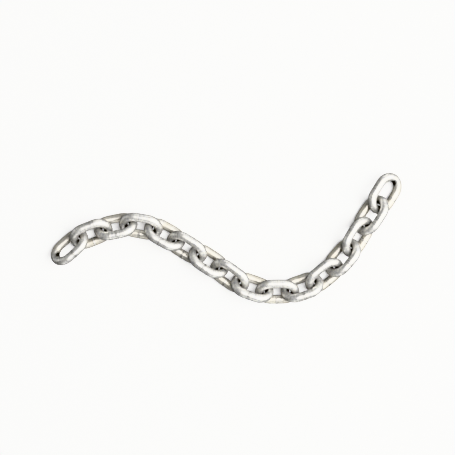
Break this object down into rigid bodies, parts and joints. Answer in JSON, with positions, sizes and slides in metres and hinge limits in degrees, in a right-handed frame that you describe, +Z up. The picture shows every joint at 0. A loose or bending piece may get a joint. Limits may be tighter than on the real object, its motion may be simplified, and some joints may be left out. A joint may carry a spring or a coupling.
{
  "type": "short-link steel chain",
  "caption": "Length of welded short-link steel chain lying slack in a flat S, every link a separate loop of round wire that can swing on its neighbours.",
  "frame": {"origin": "on the floor, under the middle of the chain's bounding box", "axes": "+Z up, +X from the cut end towards the free end along the chain's longest reach, +Y to the side the free end curls to"},
  "size_m": [0.3944, 0.1488, 0.0288],
  "materials": {
    "galvanised_steel": "satin"
  },
  "bodies": {
    "link_01": {"link_01": "galvanised_steel"},
    "link_02": {"link_02": "galvanised_steel"},
    "link_03": {"link_03": "galvanised_steel"},
    "link_04": {"link_04": "galvanised_steel"},
    "link_05": {"link_05": "galvanised_steel"},
    "link_06": {"link_06": "galvanised_steel"},
    "link_07": {"link_07": "galvanised_steel"},
    "link_08": {"link_08": "galvanised_steel"},
    "link_09": {"link_09": "galvanised_steel"},
    "link_10": {"link_10": "galvanised_steel"},
    "link_11": {"link_11": "galvanised_steel"},
    "link_12": {"link_12": "galvanised_steel"},
    "link_13": {"link_13": "galvanised_steel"},
    "link_14": {"link_14": "galvanised_steel"},
    "link_15": {"link_15": "galvanised_steel"},
    "link_16": {"link_16": "galvanised_steel"}
  },
  "joints": [
    {"name": "coupling_07_08", "type": "hinge", "parent": "link_08", "child": "link_07", "pos_m": [-0.00775, -0.03461, 0], "axis": [0, 0, 1], "range_deg": [-24, 20]},
    {"name": "coupling_06_07", "type": "hinge", "parent": "link_07", "child": "link_06", "pos_m": [-0.03186, -0.01895, 0], "axis": [0, 0, 1], "range_deg": [-24, 20]},
    {"name": "coupling_05_06", "type": "hinge", "parent": "link_06", "child": "link_05", "pos_m": [-0.05651, -0.00415, 0], "axis": [0, 0, 1], "range_deg": [-24, 20]},
    {"name": "coupling_04_05", "type": "hinge", "parent": "link_05", "child": "link_04", "pos_m": [-0.08165, 0.00979, 0], "axis": [0, 0, 1], "range_deg": [-42, 2]},
    {"name": "coupling_03_04", "type": "hinge", "parent": "link_04", "child": "link_03", "pos_m": [-0.11005, 0.01429, 0], "axis": [0, 0, 1], "range_deg": [-43, 1]},
    {"name": "coupling_02_03", "type": "hinge", "parent": "link_03", "child": "link_02", "pos_m": [-0.13817, 0.00831, 0], "axis": [0, 0, 1], "range_deg": [-32, 12]},
    {"name": "coupling_01_02", "type": "hinge", "parent": "link_02", "child": "link_01", "pos_m": [-0.16483, -0.00246, 0], "axis": [0, 0, 1], "range_deg": [-42, 2]},
    {"name": "coupling_08_09", "type": "hinge", "parent": "link_08", "child": "link_09", "pos_m": [0.0158, -0.0511, 0], "axis": [0, 0, 1], "range_deg": [-38, 6]},
    {"name": "coupling_09_10", "type": "hinge", "parent": "link_09", "child": "link_10", "pos_m": [0.04298, -0.06046, 0], "axis": [0, 0, 1], "range_deg": [-42, 2]},
    {"name": "coupling_10_11", "type": "hinge", "parent": "link_10", "child": "link_11", "pos_m": [0.07173, -0.05996, 0], "axis": [0, 0, 1], "range_deg": [-40, 4]},
    {"name": "coupling_11_12", "type": "hinge", "parent": "link_11", "child": "link_12", "pos_m": [0.09891, -0.0506, 0], "axis": [0, 0, 1], "range_deg": [-42, 2]},
    {"name": "coupling_12_13", "type": "hinge", "parent": "link_12", "child": "link_13", "pos_m": [0.12125, -0.03251, 0], "axis": [0, 0, 1], "range_deg": [-33, 11]},
    {"name": "coupling_13_14", "type": "hinge", "parent": "link_13", "child": "link_14", "pos_m": [0.13973, -0.01048, 0], "axis": [0, 0, 1], "range_deg": [-31, 13]},
    {"name": "coupling_14_15", "type": "hinge", "parent": "link_14", "child": "link_15", "pos_m": [0.15454, 0.01416, 0], "axis": [0, 0, 1], "range_deg": [-20, 24]},
    {"name": "coupling_15_16", "type": "hinge", "parent": "link_15", "child": "link_16", "pos_m": [0.1702, 0.03827, 0], "axis": [0, 0, 1], "range_deg": [-10, 18]}
  ]
}
